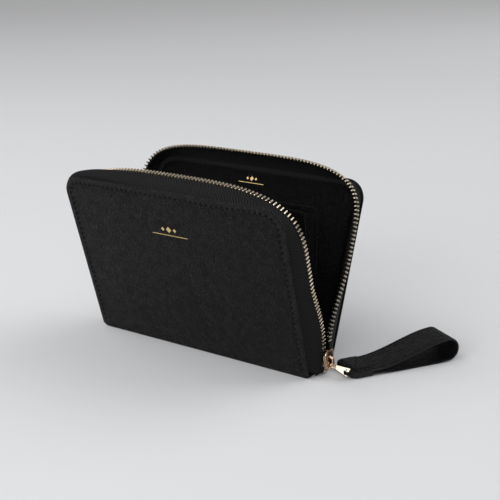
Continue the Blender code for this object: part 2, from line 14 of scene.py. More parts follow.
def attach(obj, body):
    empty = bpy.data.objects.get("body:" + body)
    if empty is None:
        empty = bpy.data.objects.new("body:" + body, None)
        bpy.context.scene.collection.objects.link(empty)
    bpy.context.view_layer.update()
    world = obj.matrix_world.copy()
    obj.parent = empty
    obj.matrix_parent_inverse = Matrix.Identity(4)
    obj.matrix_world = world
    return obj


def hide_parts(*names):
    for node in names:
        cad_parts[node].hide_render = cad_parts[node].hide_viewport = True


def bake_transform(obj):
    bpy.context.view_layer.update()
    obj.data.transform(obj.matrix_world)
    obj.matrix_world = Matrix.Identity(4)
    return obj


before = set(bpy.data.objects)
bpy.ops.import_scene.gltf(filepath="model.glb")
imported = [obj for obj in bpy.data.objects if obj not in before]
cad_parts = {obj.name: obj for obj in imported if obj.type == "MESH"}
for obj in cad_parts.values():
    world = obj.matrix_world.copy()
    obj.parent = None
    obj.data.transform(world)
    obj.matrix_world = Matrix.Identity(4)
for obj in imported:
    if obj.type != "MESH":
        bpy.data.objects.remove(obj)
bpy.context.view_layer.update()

# The same driving dimensions as the solids.
HALF = 0.0675  # half the length of the spine
HEIGHT = 0.095  # of a cover above its hinge line
HINGE_Y = 0.0105
ROLL = 0.0015  # radius of the rolled fold, whose middle is the hinge line
FRONT_LEAN = radians(16.5)
REAR_LEAN = radians(20.0)
CORNER = 0.011
FACE = -0.0015  # n of the outer leather's face
SLIDER_X = 0.0704
TEETH_PITCH = 0.0021  # from one tooth to the next in the closed zip
TEETH_REACH = 0.0102  # n of the teeth's tips where the rows are parted
ROW_GAP = 0.0016  # y of each row's tips at the slider
TEETH_FOOT = 0.0105  # height of the lowest tooth
TOOTH_LENGTH = 0.0029
TAPE = 0.0005
# The line of each row: shoulder and crest heights, squareness at the slider's end and the far end.
FRONT_ARCH = (HEIGHT - 0.035, HEIGHT + 0.0034, 3.45, 3.2)
REAR_ARCH = (HEIGHT - 0.032, HEIGHT + 0.0054, 3.7, 4.3)
FRONT_FULLNESS = 0.0042  # how far the front tape bulges round the cover's far corner
STITCH_LINE = 0.0032  # in from a cover's edge
LEAF = 0.0005  # thickness of the linings, pockets and card slots
LINING_N = 0.0011  # n of the lining's underside
LINING_INSET = 0.0035
BOARD_INSET = 0.0065
BOARD_THICKNESS = 0.0008
COIN_LEAN = radians(6.0)
COIN_FOOT = 0.0037
COIN_HALF = 0.063
COIN_HEIGHT = 0.082
COIN_WALL = 0.0009
COIN_FRONT_Y = -0.0013  # the front wall's inner face at its foot
COIN_BACK_Y = 0.0009  # the back wall's inner face
COIN_MIDDLE = -0.0038496  # y of the pocket's zip
COIN_ZIP_Z = 0.0760
COIN_ZIP_HALF = 0.0560
COIN_TEETH_HALF = 0.0013  # half the width of its teeth
STRAP_ORIGIN = Vector((0.082777, 0.0, 0.0))
STRAP_HEADING = radians(58.0)
STRAP_SHIFT = Vector((0.0046, 0.0070, 0.0))
STRAP_WIDTH = 0.019
STRAP_LEATHER = 0.0011
PULL_HINGE = Vector((0.07355, 0.0, 0.0054))
PULL_SLOPE = radians(11.0)
PULL_TWIST = radians(55.0)

FRONT = Matrix.Translation((0.0, -HINGE_Y, ROLL)) @ Matrix.Rotation(FRONT_LEAN, 4, "X")
REAR = (
    Matrix.Translation((0.0, HINGE_Y, ROLL))
    @ Matrix.Rotation(pi, 4, "Z")
    @ Matrix.Rotation(REAR_LEAN, 4, "X")
)


# ---- materials


class Finish:
    """A Principled material and a short way to add nodes to it."""

    def __init__(self, name, colour, roughness, metallic=0.0, specular=0.5):
        self.material = bpy.data.materials.new(name)
        self.material.use_nodes = True
        self.tree = self.material.node_tree
        self.shader = self.tree.nodes["Principled BSDF"]
        plain = {"Roughness": roughness, "Metallic": metallic, "Specular IOR Level": specular}
        for socket, value in {"Base Color": (*colour, 1.0), **plain}.items():
            self.shader.inputs[socket].default_value = value

    def node(self, kind, sockets=None, **settings):
        """A node with its settings; a socket takes another node's output or a plain value."""
        made = self.tree.nodes.new(kind)
        for key, value in settings.items():
            setattr(made, key, value)
        for key, value in (sockets or {}).items():
            if isinstance(value, bpy.types.NodeSocket):
                self.tree.links.new(value, made.inputs[key])
            else:
                made.inputs[key].default_value = value
        return made

    def drive(self, socket, output):
        self.tree.links.new(output, self.shader.inputs[socket])

    def maths(self, operation, *values):
        return self.node("ShaderNodeMath", dict(enumerate(values)), operation=operation).outputs[0]

    def noise(self, place, scale, detail):
        return self.node("ShaderNodeTexNoise", {"Vector": place, "Scale": scale, "Detail": detail})

    def ranged(self, value, low, high, to_low=0.0, to_high=1.0):
        """A value carried over from one range to another."""
        sockets = {0: value, 1: low, 2: high, 3: to_low, 4: to_high}
        return self.node("ShaderNodeMapRange", sockets).outputs[0]

    def mixed(self, share, colour, other, blend="MIX"):
        """Drives the base colour by a mix of two colours; other may be a grey output."""
        tone = self.node(
            "ShaderNodeMix", {0: share, 6: (*colour, 1.0), 7: other},
            data_type="RGBA", blend_type=blend,
        )
        self.drive("Base Color", tone.outputs[2])

    def place(self, output="Object"):
        return self.node("ShaderNodeTexCoord").outputs[output]

    def bump(self, height, distance, strength=1.0, under=None):
        sockets = {"Height": height, "Distance": distance, "Strength": strength}
        if under is not None:
            sockets["Normal"] = under
        made = self.node("ShaderNodeBump", sockets)
        self.drive("Normal", made.outputs[0])
        return made.outputs[0]


def leather(name, colour, roughness, pebble, depth, specular):
    """Grained leather: pebbles parted by creases darkened with painted shade, over broad tone changes
    and soft waves.
    """
    look = Finish(name, colour, roughness, specular=specular)
    place = look.place()
    # pebbles with bent outlines
    warp = look.noise(place, 0.5 / pebble, 1.0).outputs["Color"]
    bent = look.node(
        "ShaderNodeVectorMath", {0: warp, 1: (1.4 * pebble,) * 3, 2: place},
        operation="MULTIPLY_ADD",
    )
    cells = look.node(
        "ShaderNodeTexVoronoi", {"Vector": bent.outputs[0], "Scale": 1.0 / pebble},
        feature="DISTANCE_TO_EDGE",
    )
    top = look.ranged(cells.outputs["Distance"], 0.0, 0.30)
    broad = look.noise(place, 0.45 / pebble, 3.0).outputs[0]
    waves = look.noise(place, 60.0, 2.0).outputs[0]
    pores = look.noise(place, 5200.0, 2.0).outputs[0]
    soft = look.bump(waves, 0.0003, 0.5)
    height = look.maths("ADD", top, look.maths("MULTIPLY", pores, 0.35))
    height = look.maths("ADD", height, look.maths("MULTIPLY", broad, 0.8))
    look.bump(height, depth, 1.0, soft)
    # patches of tone, painted shade in the creases, and smoother where the patches are light
    patches = look.ranged(broad, 0.34, 0.66, 0.60, 1.45)
    # painted shade: the creases between the pebbles are darkened in the colour
    crease_shade = look.ranged(top, 0.0, 1.0, 0.06, 1.22)
    look.mixed(1.0, colour, look.maths("MULTIPLY", patches, crease_shade), "MULTIPLY")
    look.drive("Roughness", look.ranged(broad, 0.3, 0.7, roughness + 0.08, roughness - 0.07))
    return look.material


def painted_edge(name, colour, roughness):
    """A matt coat with a fine grain, for cut edges, the stitch groove's painted shade and board."""
    look = Finish(name, colour, roughness, specular=0.3)
    grain = look.noise(look.place(), 1400.0, 3.0)
    look.bump(grain.outputs[0], 0.00005, 0.6)
    return look.material


def woven(name, colour, column, rib):
    """Herringbone tape: columns of slanting ribs, mirrored from one column to the next, with painted
    highlight on the ribs and painted shade between them.
    """
    yarn_width = 0.00045
    look = Finish(name, colour, 0.6, specular=0.08)
    parts = look.node("ShaderNodeSeparateXYZ", {0: look.place("UV")})
    along, across = parts.outputs[0], parts.outputs[1]
    zigzag = look.maths("PINGPONG", across, column)
    phase = look.maths("MULTIPLY", look.maths("ADD", along, zigzag), 2 * pi / rib)
    ribs = look.maths("SINE", phase)
    yarn = look.maths("SINE", look.maths("MULTIPLY", across, 2 * pi / yarn_width))
    height = look.maths("ADD", look.maths("MULTIPLY", ribs, 0.5), look.maths("MULTIPLY", yarn, 0.15))
    look.bump(height, 0.00016, 1.0)
    # painted highlight and shade: the colour follows the ribs' height, bright on their crests and dark
    # between them
    look.mixed(1.0, colour, look.ranged(ribs, -1.0, 1.0, 0.1, 16.0), "MULTIPLY")
    return look.material


def metal(name, colour, roughness):
    """Polished plated metal with faint wear."""
    look = Finish(name, colour, roughness, metallic=1.0)
    wear = look.noise(look.place(), 900.0, 3.0)
    look.bump(wear.outputs[0], 0.00002, 0.5)
    return look.material


def thread(name, colour):
    """Twisted sewing thread."""
    look = Finish(name, colour, 0.6, specular=0.12)
    twist = look.node("ShaderNodeTexWave", {"Vector": look.place(), "Scale": 900.0})
    look.bump(twist.outputs[0], 0.00004, 0.8)
    return look.material


# colour, roughness, size and depth of the pebbles, specular level
LEATHER = leather("pebbled_leather", (0.0096, 0.0096, 0.0098), 0.43, 0.00145, 0.00080, 0.15)
BORDER = leather("pressed_border", (0.0098, 0.0098, 0.0100), 0.42, 0.00130, 0.00035, 0.17)
LINER = leather("lining_leather", (0.0026, 0.0026, 0.0027), 0.50, 0.00100, 0.00030, 0.09)
EDGE = painted_edge("edge_paint", (0.0035, 0.0035, 0.0035), 0.36)
# a darker finish for the stitch groove: painted shade in the groove
GROOVE_SHADE = painted_edge("groove_painted_shade", (0.0062, 0.0062, 0.0063), 0.50)
BOARD = painted_edge("stiffener_board", (0.22, 0.19, 0.15), 0.85)
# colour, width of a column, width of a rib
WEAVE = woven("herringbone_tape", (0.0013, 0.0013, 0.0014), 0.0028, 0.00160)
TEETH = metal("pale_gold", (0.60, 0.52, 0.40), 0.20)
GILT = metal("rose_gold", (0.62, 0.44, 0.31), 0.20)
PULLER = metal("bright_gold", (0.95, 0.85, 0.68), 0.24)
FOIL = metal("gold_foil", (0.80, 0.60, 0.28), 0.34)
THREAD = thread("black_thread", (0.0006, 0.0006, 0.0007))


# ---- geometry


def make(name, verts, faces, materials, smooth=35.0, uvs=None, kinds=None):
    """A mesh object from points and faces; kinds gives each face's material index."""
    mesh = bpy.data.meshes.new(name)
    mesh.from_pydata([tuple(v) for v in verts], [], faces)
    for material in materials:
        mesh.materials.append(material)
    if kinds:
        mesh.polygons.foreach_set("material_index", kinds)
    if uvs:
        layer = mesh.uv_layers.new(name="UVMap")
        layer.data.foreach_set("uv", [c for face in faces for i in face for c in uvs[i]])
    mesh.validate()
    mesh.shade_smooth()
    mesh.set_sharp_from_angle(angle=radians(smooth))
    piece = bpy.data.objects.new(name, mesh)
    bpy.context.scene.collection.objects.link(piece)
    return piece


def settle(piece, body, slot, *nodes):
    """Hangs a finished piece on its body and hides the nodes it stands for; slot is not used."""
    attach(piece, body)
    if nodes:
        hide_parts(*nodes)


def fit(name, shape, material, body, slot, *nodes, smooth=35.0):
    """Makes a piece of one material from its (points, faces) and settles it."""
    settle(make(name, *shape, [material], smooth=smooth), body, slot, *nodes)


def skin(rings, caps=True, ring_closed=True, path_closed=False):
    """Points and faces of a surface through rings of equal count."""
    count = len(rings[0])
    verts = [point for ring in rings for point in ring]
    faces = []
    last = len(rings) if path_closed else len(rings) - 1
    for r in range(last):
        near, far = r * count, ((r + 1) % len(rings)) * count
        for i in range(count if ring_closed else count - 1):
            j = (i + 1) % count
            faces.append((near + i, far + i, far + j, near + j))
    if caps and not path_closed:
        faces.append(tuple(range(count)))
        faces.append(tuple(reversed(range(len(verts) - count, len(verts)))))
    return verts, faces


def merged(parts):
    """Several (points, faces) as one."""
    verts, faces = [], []
    for some, more in parts:
        base = len(verts)
        verts += some
        faces += [tuple(i + base for i in face) for face in more]
    return verts, faces


def arc(centre, radius, start, end, steps):
    """Plane points round a centre from one angle to another."""
    angles = [start + (end - start) * i / steps for i in range(steps + 1)]
    return [(centre[0] + radius * cos(a), centre[1] + radius * sin(a)) for a in angles]


def ease(t):
    """A smooth step from 0 to 1."""
    t = min(1.0, max(0.0, t))
    return t * t * (3 - 2 * t)


def resampled(points, spacing=None, count=None):
    """Points at equal distances along a polyline of tuples or vectors, in any dimension."""
    points = [Vector(p) for p in points]
    lengths = [0.0]
    for a, b in zip(points, points[1:]):
        lengths.append(lengths[-1] + (b - a).length)
    count = count or max(2, round(lengths[-1] / spacing))
    result, k = [], 0
    for i in range(count + 1):
        target = lengths[-1] * i / count
        while k < len(points) - 2 and lengths[k + 1] < target:
            k += 1
        span = max(lengths[k + 1] - lengths[k], 1e-12)
        result.append(points[k].lerp(points[k + 1], (target - lengths[k]) / span))
    return result


def tangent(points, i):
    """The direction of an open path at its point i."""
    return (points[min(i + 1, len(points) - 1)] - points[max(i - 1, 0)]).normalized()


def panel_outline(half, low, high, top_radius, foot_radius=0.0004):
    """Round-cornered outline, anticlockwise from the lower right."""
    points = arc((half - foot_radius, low + foot_radius), foot_radius, -pi / 2, 0.0, 4)
    points += arc((half - top_radius, high - top_radius), top_radius, 0.0, pi / 2, 12)
    return points + [(-x, z) for x, z in reversed(points)]


def shrunk(outline, amount):
    """A convex anticlockwise outline moved inward."""
    result = []
    count = len(outline)
    for i in range(count):
        a, b = Vector(outline[i - 1]), Vector(outline[(i + 1) % count])
        run = (b - a).normalized()
        result.append((outline[i][0] - run.y * amount, outline[i][1] + run.x * amount))
    return result


def slab(outline, low, high, rounding, place):
    """A flat piece with rounded edges: place maps (x, v, n) to space."""
    r = min(rounding, (high - low) / 2)
    steps = [(r, low), (0.3 * r, low + 0.3 * r), (0.0, low + r)]
    steps += [(0.0, high - r), (0.3 * r, high - 0.3 * r), (r, high)]
    rings = [[place(x, v, n) for x, v in shrunk(outline, inset)] for inset, n in steps]
    return skin(rings)


def box(low, high, rounding):
    """A rounded box between two corners."""
    outline = [(low[0], low[1]), (high[0], low[1]), (high[0], high[1]), (low[0], high[1])]
    r = min(rounding, (high[0] - low[0]) / 2.01, (high[1] - low[1]) / 2.01)
    centres = [(high[0] - r, low[1] + r), (high[0] - r, high[1] - r)]
    centres += [(low[0] + r, high[1] - r), (low[0] + r, low[1] + r)]
    outline = [p for i, c in enumerate(centres) for p in arc(c, r, (i - 1) * pi / 2, i * pi / 2, 3)]
    return slab(outline, low[2], high[2], rounding, lambda x, y, z: Vector((x, y, z)))


# A stitch from end to end: its place along it, its thickness and its lift, as shares.
STITCH = ((-0.5, 0.4, -0.7), (-0.36, 0.85, 0.1), (0, 1, 0.5), (0.36, 0.85, 0.1), (0.5, 0.4, -0.7))


def stitched(path, normal, pitch=0.0031, length=0.0019, radius=0.00036):
    """A row of sunk stitches along a path on leather that faces along normal."""
    path = resampled(path, spacing=pitch)
    parts = []
    for i, point in enumerate(path):
        along = tangent(path, i)
        side = along.cross(normal).normalized()
        rings = []
        for share, size, lift in STITCH:
            centre = point + along * length * share + normal * radius * lift
            ring = [
                centre + radius * size * (cos(a) * side + sin(a) * normal)
                for a in (pi * k / 3 for k in range(6))
            ]
            rings.append(ring)
        parts.append(skin(rings))
    return merged(parts)


def tube(path, sides, radius, closed=False):
    """A round tube along 3-D points."""
    rings = []
    across = None
    for i, point in enumerate(path):
        along = tangent(path, i)
        if closed:
            along = (path[(i + 1) % len(path)] - path[i - 1]).normalized()
        guide = across or (Vector((0, 0, 1)) if abs(along.z) < 0.9 else Vector((1, 0, 0)))
        across = (guide - along * guide.dot(along)).normalized()
        other = along.cross(across)
        turns = [2 * pi * k / sides for k in range(sides)]
        rings.append([point + radius * (cos(a) * across + sin(a) * other) for a in turns])
    return skin(rings, path_closed=closed)


def smooth_outline(points, radius, steps=4):
    """A closed polygon with rounded corners."""
    result = []
    count = len(points)
    for i in range(count):
        here = Vector(points[i])
        back, ahead = Vector(points[i - 1]) - here, Vector(points[(i + 1) % count]) - here
        r = min(radius, back.length * 0.45, ahead.length * 0.45)
        a, b = here + back.normalized() * r, here + ahead.normalized() * r
        for k in range(steps + 1):
            t = k / steps
            result.append(tuple(a * (1 - t) ** 2 + here * (2 * t * (1 - t)) + b * t * t))
    return result


def strip(path, normal, width, thickness, rounding):
    """A bar of rounded rectangular section bent along a plane path with that normal."""
    rings = []
    half, deep, r = width / 2, thickness / 2, rounding
    corners = [(half - r, deep - r), (-half + r, deep - r)]
    corners += [(-half + r, -deep + r), (half - r, -deep + r)]
    section = []
    for i, centre in enumerate(corners):
        section += arc(centre, r, i * pi / 2, (i + 1) * pi / 2, 3)
    for i, point in enumerate(path):
        side = tangent(path, i).cross(normal).normalized()
        rings.append([point + normal * a + side * b for a, b in section])
    return skin(rings)


def curve(knots, steps=8):
    """A Catmull-Rom curve through plane points."""
    points = [Vector(k) for k in knots]
    points = [2 * points[0] - points[1]] + points + [2 * points[-1] - points[-2]]
    result = []
    for i in range(1, len(points) - 2):
        a, b, c, d = points[i - 1 : i + 3]
        square, cube = 2 * a - 5 * b + 4 * c - d, 3 * b - a - 3 * c + d
        for k in range(steps):
            t = k / steps
            result.append(0.5 * (2 * b + (c - a) * t + square * t * t + cube * t**3))
    return result + [points[-2]]


# ---- the covers


# The outer leather's section from behind its turned edge to the middle of the face, in
# millimetres: (distance in from the cover's edge, n).
SECTION = [
    (3.0, -0.30), (0.60, -0.30), (0.25, -0.36), (0.06, -0.54), (0.0, -0.80), (0.03, -1.08),
    (0.14, -1.32), (0.36, -1.50), (0.70, -1.58), (1.10, -1.60), (1.60, -1.59), (2.20, -1.56),
    (2.60, -1.52), (2.85, -1.42), (3.05, -1.32), (3.20, -1.28), (3.35, -1.32), (3.55, -1.42),
    (3.85, -1.50), (4.40, -1.58), (5.60, -1.62), (7.50, -1.66), (10.0, -1.70), (14.0, -1.74),
    (20.0, -1.78), (28.0, -1.81), (38.0, -1.83), (50.0, -1.84), (60.0, -1.85), (66.0, -1.85),
]
CREASE_FROM, CREASE_TO = 0.0027, 0.0034  # the stitch groove, in from the edge
TURNED_EDGE = 0.0005  # nearer the edge than this, the section is the same down to the foot
FLAT_FOOT = 0.010  # below this height the face flattens towards the fold
FOOT_ROUND = 0.0022  # the cover's lower corners
FOOT_STEPS = (0.0, 0.0003, 0.0007, 0.0012, 0.0018, 0.0026)
MIDDLE = 0.060  # further in than this, the loop is too narrow for its usual corners


def loop_at(d, foot=0.0):
    """The cover's edge moved in by d: up the left, over the top and down the right."""
    radius = max(CORNER - d, 0.0030 if d < MIDDLE else 0.0012)
    half, high = HALF - d, HEIGHT - d
    knots, start = 24, foot + 0.0036
    heights = [foot + step for step in FOOT_STEPS]
    heights += [start + (high - radius - start) * ease_low(k / knots) for k in range(knots)]
    side = []
    for v in heights:
        below = max(0.0, FOOT_ROUND - v)
        cut = FOOT_ROUND - (FOOT_ROUND**2 - below**2) ** 0.5
        side.append((min(half, HALF - cut - 0.3 * d), v))
    right = side + arc((half - radius, high - radius), radius, 0.0, pi / 2, 14)
    across = [((half - radius) * (1 - 2 * k / 40), high) for k in range(1, 40)]
    left = [(-x, z) for x, z in reversed(right)]
    return list(reversed(right + across + left))


def ease_low(t):
    """Spacing that is closer together near the foot."""
    return t * (0.55 + 0.45 * t)


def outer_leather(name, matrix):
    """The outer leather: a turned edge, a pressed border with its stitch groove darkened by painted
    shade, and a full face.
    """
    rings = []
    for d, n in SECTION:
        d, n = d / 1000, n / 1000
        ring = []
        for x, v in loop_at(d):
            depth = n if d < TURNED_EDGE else FACE + (n - FACE) * ease(v / FLAT_FOOT)
            ring.append(matrix @ Vector((x, depth, v)))
        rings.append(ring)
    verts, faces = skin(rings, caps=False, ring_closed=False)
    # the innermost loop is filled straight across
    count = len(rings[0])
    base = len(verts) - count
    for i in range(count // 2 - 1):
        faces.append((base + i, base + count - 1 - i, base + count - 2 - i, base + i + 1))
    # the stitch groove's band takes the darker finish, painted shade in the groove
    kinds = []
    for k in range(len(faces)):
        band = min(k // (count - 1), len(SECTION) - 1)
        d = SECTION[band][0] / 1000
        kinds.append(0 if d > CREASE_TO else 2 if d > CREASE_FROM and band > 1 else 1)
    return make(name, verts, faces, [LEATHER, BORDER, GROOVE_SHADE], smooth=60, kinds=kinds)


def cover_stitching(matrix, d, n, sign):
    """Stitches round a cover at depth n, d in from its edge, on leather that faces to sign."""
    path = [matrix @ Vector((x, n, v)) for x, v in loop_at(d, foot=0.0045)]
    return stitched(path, (matrix.to_3x3() @ Vector((0, sign, 0))).normalized())


def base_path(foot, inset=0.001):
    """The line along which the tape leaves the cover's edge."""
    half, high, radius = HALF - inset, HEIGHT - inset, CORNER - inset
    right = [(half, foot)] + arc((half - radius, high - radius), radius, 0.0, pi / 2, 24)
    return [(-x, z) for x, z in right] + list(reversed(right))


def tip_path(foot, slider_side, shoulder, crest, near_power, far_power):
    """The line of the teeth: straight sides and one superelliptic arch over the top."""
    half, steps = SLIDER_X, 96
    arch = []
    for i in range(steps + 1):
        share = -cos(pi * i / steps)
        power = near_power if slider_side * share > 0.0 else far_power
        rise = max(0.0, 1.0 - abs(share) ** power) ** (1.0 / power)
        arch.append((half * share, shoulder + (crest - shoulder) * rise))
    return [(-half, foot)] + arch + [(half, foot)]


def reach(x, z, lean, slider_side):
    """n of the teeth's tips: constant where the rows are parted, and rising to meet at the slider."""
    if slider_side * x < 0.0:
        return TEETH_REACH
    slider_top, run = 0.013, 0.037
    joined = (HINGE_Y - ROW_GAP + z * sin(lean)) / cos(lean)
    t = min(1.0, max(0.0, (z - slider_top) / run))
    return TEETH_REACH + (joined - TEETH_REACH) * (1.0 - t) ** 1.6


def outward(path, i):
    run = tangent(path, i)
    return Vector((-run.y, run.x))


def fullness(place, slider_side, most):
    """How far the tape's belly bulges past the cover, round its corner away from the slider."""
    along = ease((-slider_side * place.x - 0.012) / 0.045)
    return most * along * ease((place.y - 0.050) / 0.035)


def tape_line(b, t, out, full, edge, knots=14):
    """Across the tape in (plane point, n): from its seam at b, through its belly, to its edge at t."""
    seam, middle = 0.005, b.lerp(t, 0.75)
    line = [(b - seam * out, 0.0)]
    for k in range(knots + 1):
        # a cubic curve whose two middle points lie between b, middle and t
        s = k / knots
        w = ((1 - s) ** 3, 3 * s * (1 - s) ** 2, 3 * s * s * (1 - s), s**3)
        p = b * (w[0] + 0.55 * w[1]) + middle * (0.45 * w[1] + 0.75 * w[2])
        p += t * (0.25 * w[2] + w[3]) + out * full * (w[1] + w[2]) / 0.75
        line.append((p, edge * (0.105 * w[1] + 0.645 * w[2] + w[3])))
    return line


def zip_tape(name, matrix, arch, lean, slider_side, most):
    """Woven tape from the seam under the lining out to the corded edge that the teeth clamp."""
    stations = 200
    cord = (0.0008, 0.0010)  # thickness near the edge and at it
    cord_back = 0.0019  # from the teeth's tips back to the edge
    base = resampled(base_path(0.003), count=stations)
    tip = resampled(tip_path(-0.002, slider_side, *arch), count=stations)
    rings, uvs, along = [], [], 0.0
    for i, (b, t) in enumerate(zip(base, tip)):
        out = outward(base, i)
        edge = reach(*t, lean, slider_side) - cord_back
        line = tape_line(b, t, out, fullness(b, slider_side, most), edge)
        extra = [0.0] * (len(line) - 2) + [(width - TAPE) / 2 for width in cord]
        outer = [(p + out * e, n) for (p, n), e in zip(line, extra)]
        inner = [(p - out * (TAPE + e), n) for (p, n), e in zip(line, extra)]
        inner[0] = (line[0][0], TAPE)
        inner[1] = (line[1][0] - out * TAPE, TAPE)
        rings.append([matrix @ Vector((p.x, n, p.y)) for p, n in outer + list(reversed(inner))])
        if i:
            along += (b.lerp(t, 0.5) - base[i - 1].lerp(tip[i - 1], 0.5)).length
        across, row = 0.0, [(along, 0.0)]
        for (p, n), (q, m) in zip(line, line[1:]):
            across += hypot((q - p).length, m - n)
            row.append((along, across))
        uvs += row + list(reversed(row))
    verts, faces = skin(rings)
    return make(name, verts, faces, [WEAVE], smooth=50, uvs=uvs)


INWARD = Vector((0, 1, 0))  # along n, in a cover's frame
# One tooth from root to head: (share of its length, half width along the row and half thickness
# in millimetres).
TOOTH = [
    (-1.0, 0.34, 0.66), (-0.95, 0.42, 0.84), (-0.45, 0.45, 0.92), (-0.34, 0.37, 0.74),
    (-0.24, 0.43, 0.82), (-0.06, 0.41, 0.72), (0.0, 0.28, 0.46),
]


def tooth(point, along, into, out):
    """A waisted tooth of eight-sided section whose tip is at point."""
    rings = []
    for share, half, thick in TOOTH:
        centre = point + into * TOOTH_LENGTH * share
        a, b = half / 1000, thick / 1000
        corners = [(a, 0.6 * b), (0.6 * a, b), (-0.6 * a, b), (-a, 0.6 * b)]
        corners += [(-x, -y) for x, y in corners]
        rings.append([centre + along * x + out * y for x, y in corners])
    return skin(rings)


def zip_teeth(name, matrix, arch, lean, slider_side, shift):
    """One row of clamped metal teeth; with shift 1 they fall between those of the row without."""
    path = resampled(tip_path(TEETH_FOOT, slider_side, *arch), spacing=TEETH_PITCH / 2)
    points = [Vector((p.x, reach(*p, lean, slider_side), p.y)) for p in path]
    turn = matrix.to_3x3()
    parts = []
    for i, point in enumerate(points):
        if (i + shift) % 2:
            continue
        along = tangent(points, i)
        into = (INWARD - along * INWARD.dot(along)).normalized()
        out = along.cross(into)
        parts.append(tooth(matrix @ point, turn @ along, turn @ into, turn @ out))
    verts, faces = merged(parts)
    return make(name, verts, faces, [TEETH], smooth=30)


def cover_panel(name, matrix, inset, low, high, radius, start, thickness, material):
    """A flat leaf of a cover, from depth start inwards."""
    outline = panel_outline(HALF - inset, low, high, radius)
    verts, faces = slab(
        outline, start, start + thickness, 0.0002, lambda x, v, n: matrix @ Vector((x, n, v))
    )
    return make(name, verts, faces, [material])


def make_cover(side, matrix, lean, arch, slider_side, tops, most):
    """One cover with its half of the zip; tops are the heights of its pocket and card slots."""
    body, fold = side + "_cover", side + "_fold"
    settle(outer_leather(side + "_leather_skin", matrix), body, "leather", side + "_outer_leather")
    board = cover_panel(
        side + "_board_sheet", matrix, BOARD_INSET, 0.005, HEIGHT - BOARD_INSET, 0.005,
        0.0, BOARD_THICKNESS, BOARD,
    )
    settle(board, body, "board", side + "_board")
    lining = cover_panel(
        side + "_lining_sheet", matrix, LINING_INSET, 0.003, HEIGHT - LINING_INSET, 0.012,
        LINING_N, LEAF, LINER,
    )
    settle(lining, body, "lining", side + "_lining")

    inner_normal = (matrix.to_3x3() @ Vector((0, 1, 0))).normalized()
    rows = [cover_stitching(matrix, STITCH_LINE, -0.00134, -1)]
    rows.append(cover_stitching(matrix, 0.0050, LINING_N + LEAF, 1))
    for number, (kind, high) in enumerate(zip(("slip_pocket", "card_slot_1", "card_slot_2"), tops), 1):
        inset, start = LINING_INSET + 0.001 * number, LINING_N + number * 0.0008
        sheet = cover_panel(
            f"{side}_{kind}_sheet", matrix, inset, 0.003, high, 0.002, start, LEAF, LINER
        )
        settle(sheet, body, "lining", f"{side}_{kind}")
        x, v, foot = HALF - inset - 0.0014, high - 0.0018, 0.006
        hem = [(x, foot), (x, v), (-x, v), (-x, foot)]
        path = [matrix @ Vector((a, start + LEAF, b)) for a, b in hem]
        rows.append(stitched(path, inner_normal, pitch=0.0028, radius=0.0002))
    fit(side + "_cover_stitching", merged(rows), THREAD, body, "leather")

    tape = zip_tape(side + "_tape", matrix, arch, lean, slider_side, most)
    shift = 0 if slider_side > 0 else 1
    teeth = zip_teeth(side + "_teeth", matrix, arch, lean, slider_side, shift)
    sign = -1 if side == "front" else 1
    start = Vector((SLIDER_X, sign * 0.0012, 0.0))
    for piece, node, slot in ((tape, "_zip_tape", "zip_tape"), (teeth, "_zip_teeth", "zip_metal")):
        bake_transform(piece)
        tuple(start)
        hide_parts(side + node)

    x, high = -slider_side * SLIDER_X, TEETH_FOOT - 0.0003
    verts, faces = box((x - 0.0010, 0.0082, high - 0.0026), (x + 0.0010, TEETH_REACH, high), 0.0005)
    stop = [matrix @ v for v in verts], faces
    fit(side + "_top_stop", stop, TEETH, body, "zip_metal", side + "_zip_top_stop")


def make_fold(side, matrix):
    """The leather's rolled bend, with its ends turned in."""
    # (distance in from the end, radius)
    ends = [(0.0008, 0.0004), (0.0010, 0.0009), (0.0015, 0.00132), (0.0024, ROLL)]
    ends = [(inset - HALF, radius) for inset, radius in ends]
    turns = [2 * pi * k / 40 for k in range(40)]
    rings = []
    for x, radius in ends + [(-x, r) for x, r in reversed(ends)]:
        rings.append([matrix @ Vector((x, radius * cos(a), radius * sin(a))) for a in turns])
    fold = side + "_fold"
    fit(fold + "_skin", skin(rings), LEATHER, fold, "leather", fold + "_roll")


# ---- spine, slider and strap


def make_spine():
    """The spine's leather, its lining, the tabs over the tapes' ends and the zip's bottom stop."""
    lap, end = HINGE_Y - 0.0004, HALF - 0.0012
    section = [(-lap, 0.0), (lap, 0.0), (0.0088, 0.0004), (0.0085, 0.0013)]
    section += [(-0.0085, 0.0013), (-0.0088, 0.0004)]
    rings = [[Vector((x, y, z)) for y, z in section] for x in (-end, -HALF / 3, HALF / 3, end)]
    fit("spine_skin", skin(rings), LEATHER, "spine", "leather", "spine_leather")
    lining = box((-0.066, -0.0087, 0.0016), (0.066, 0.0087, 0.0021), 0.0002)
    fit("spine_lining_sheet", lining, LINER, "spine", "lining", "spine_lining")
    for name, x in (("left", -HALF - 0.0011), ("right", HALF + 0.0003)):
        tab = box((x, -0.0062, 0.0003), (x + 0.0008, 0.0062, 0.0027), 0.0003)
        fit(f"end_tab_{name}", tab, LEATHER, "spine", "leather", f"zip_end_tab_{name}")
    stop = box((HALF + 0.0014, -0.0016, 0.0006), (HALF + 0.0034, 0.0016, 0.0024), 0.0004)
    fit("bottom_stop", stop, TEETH, "spine", "zip_metal", "zip_bottom_stop")


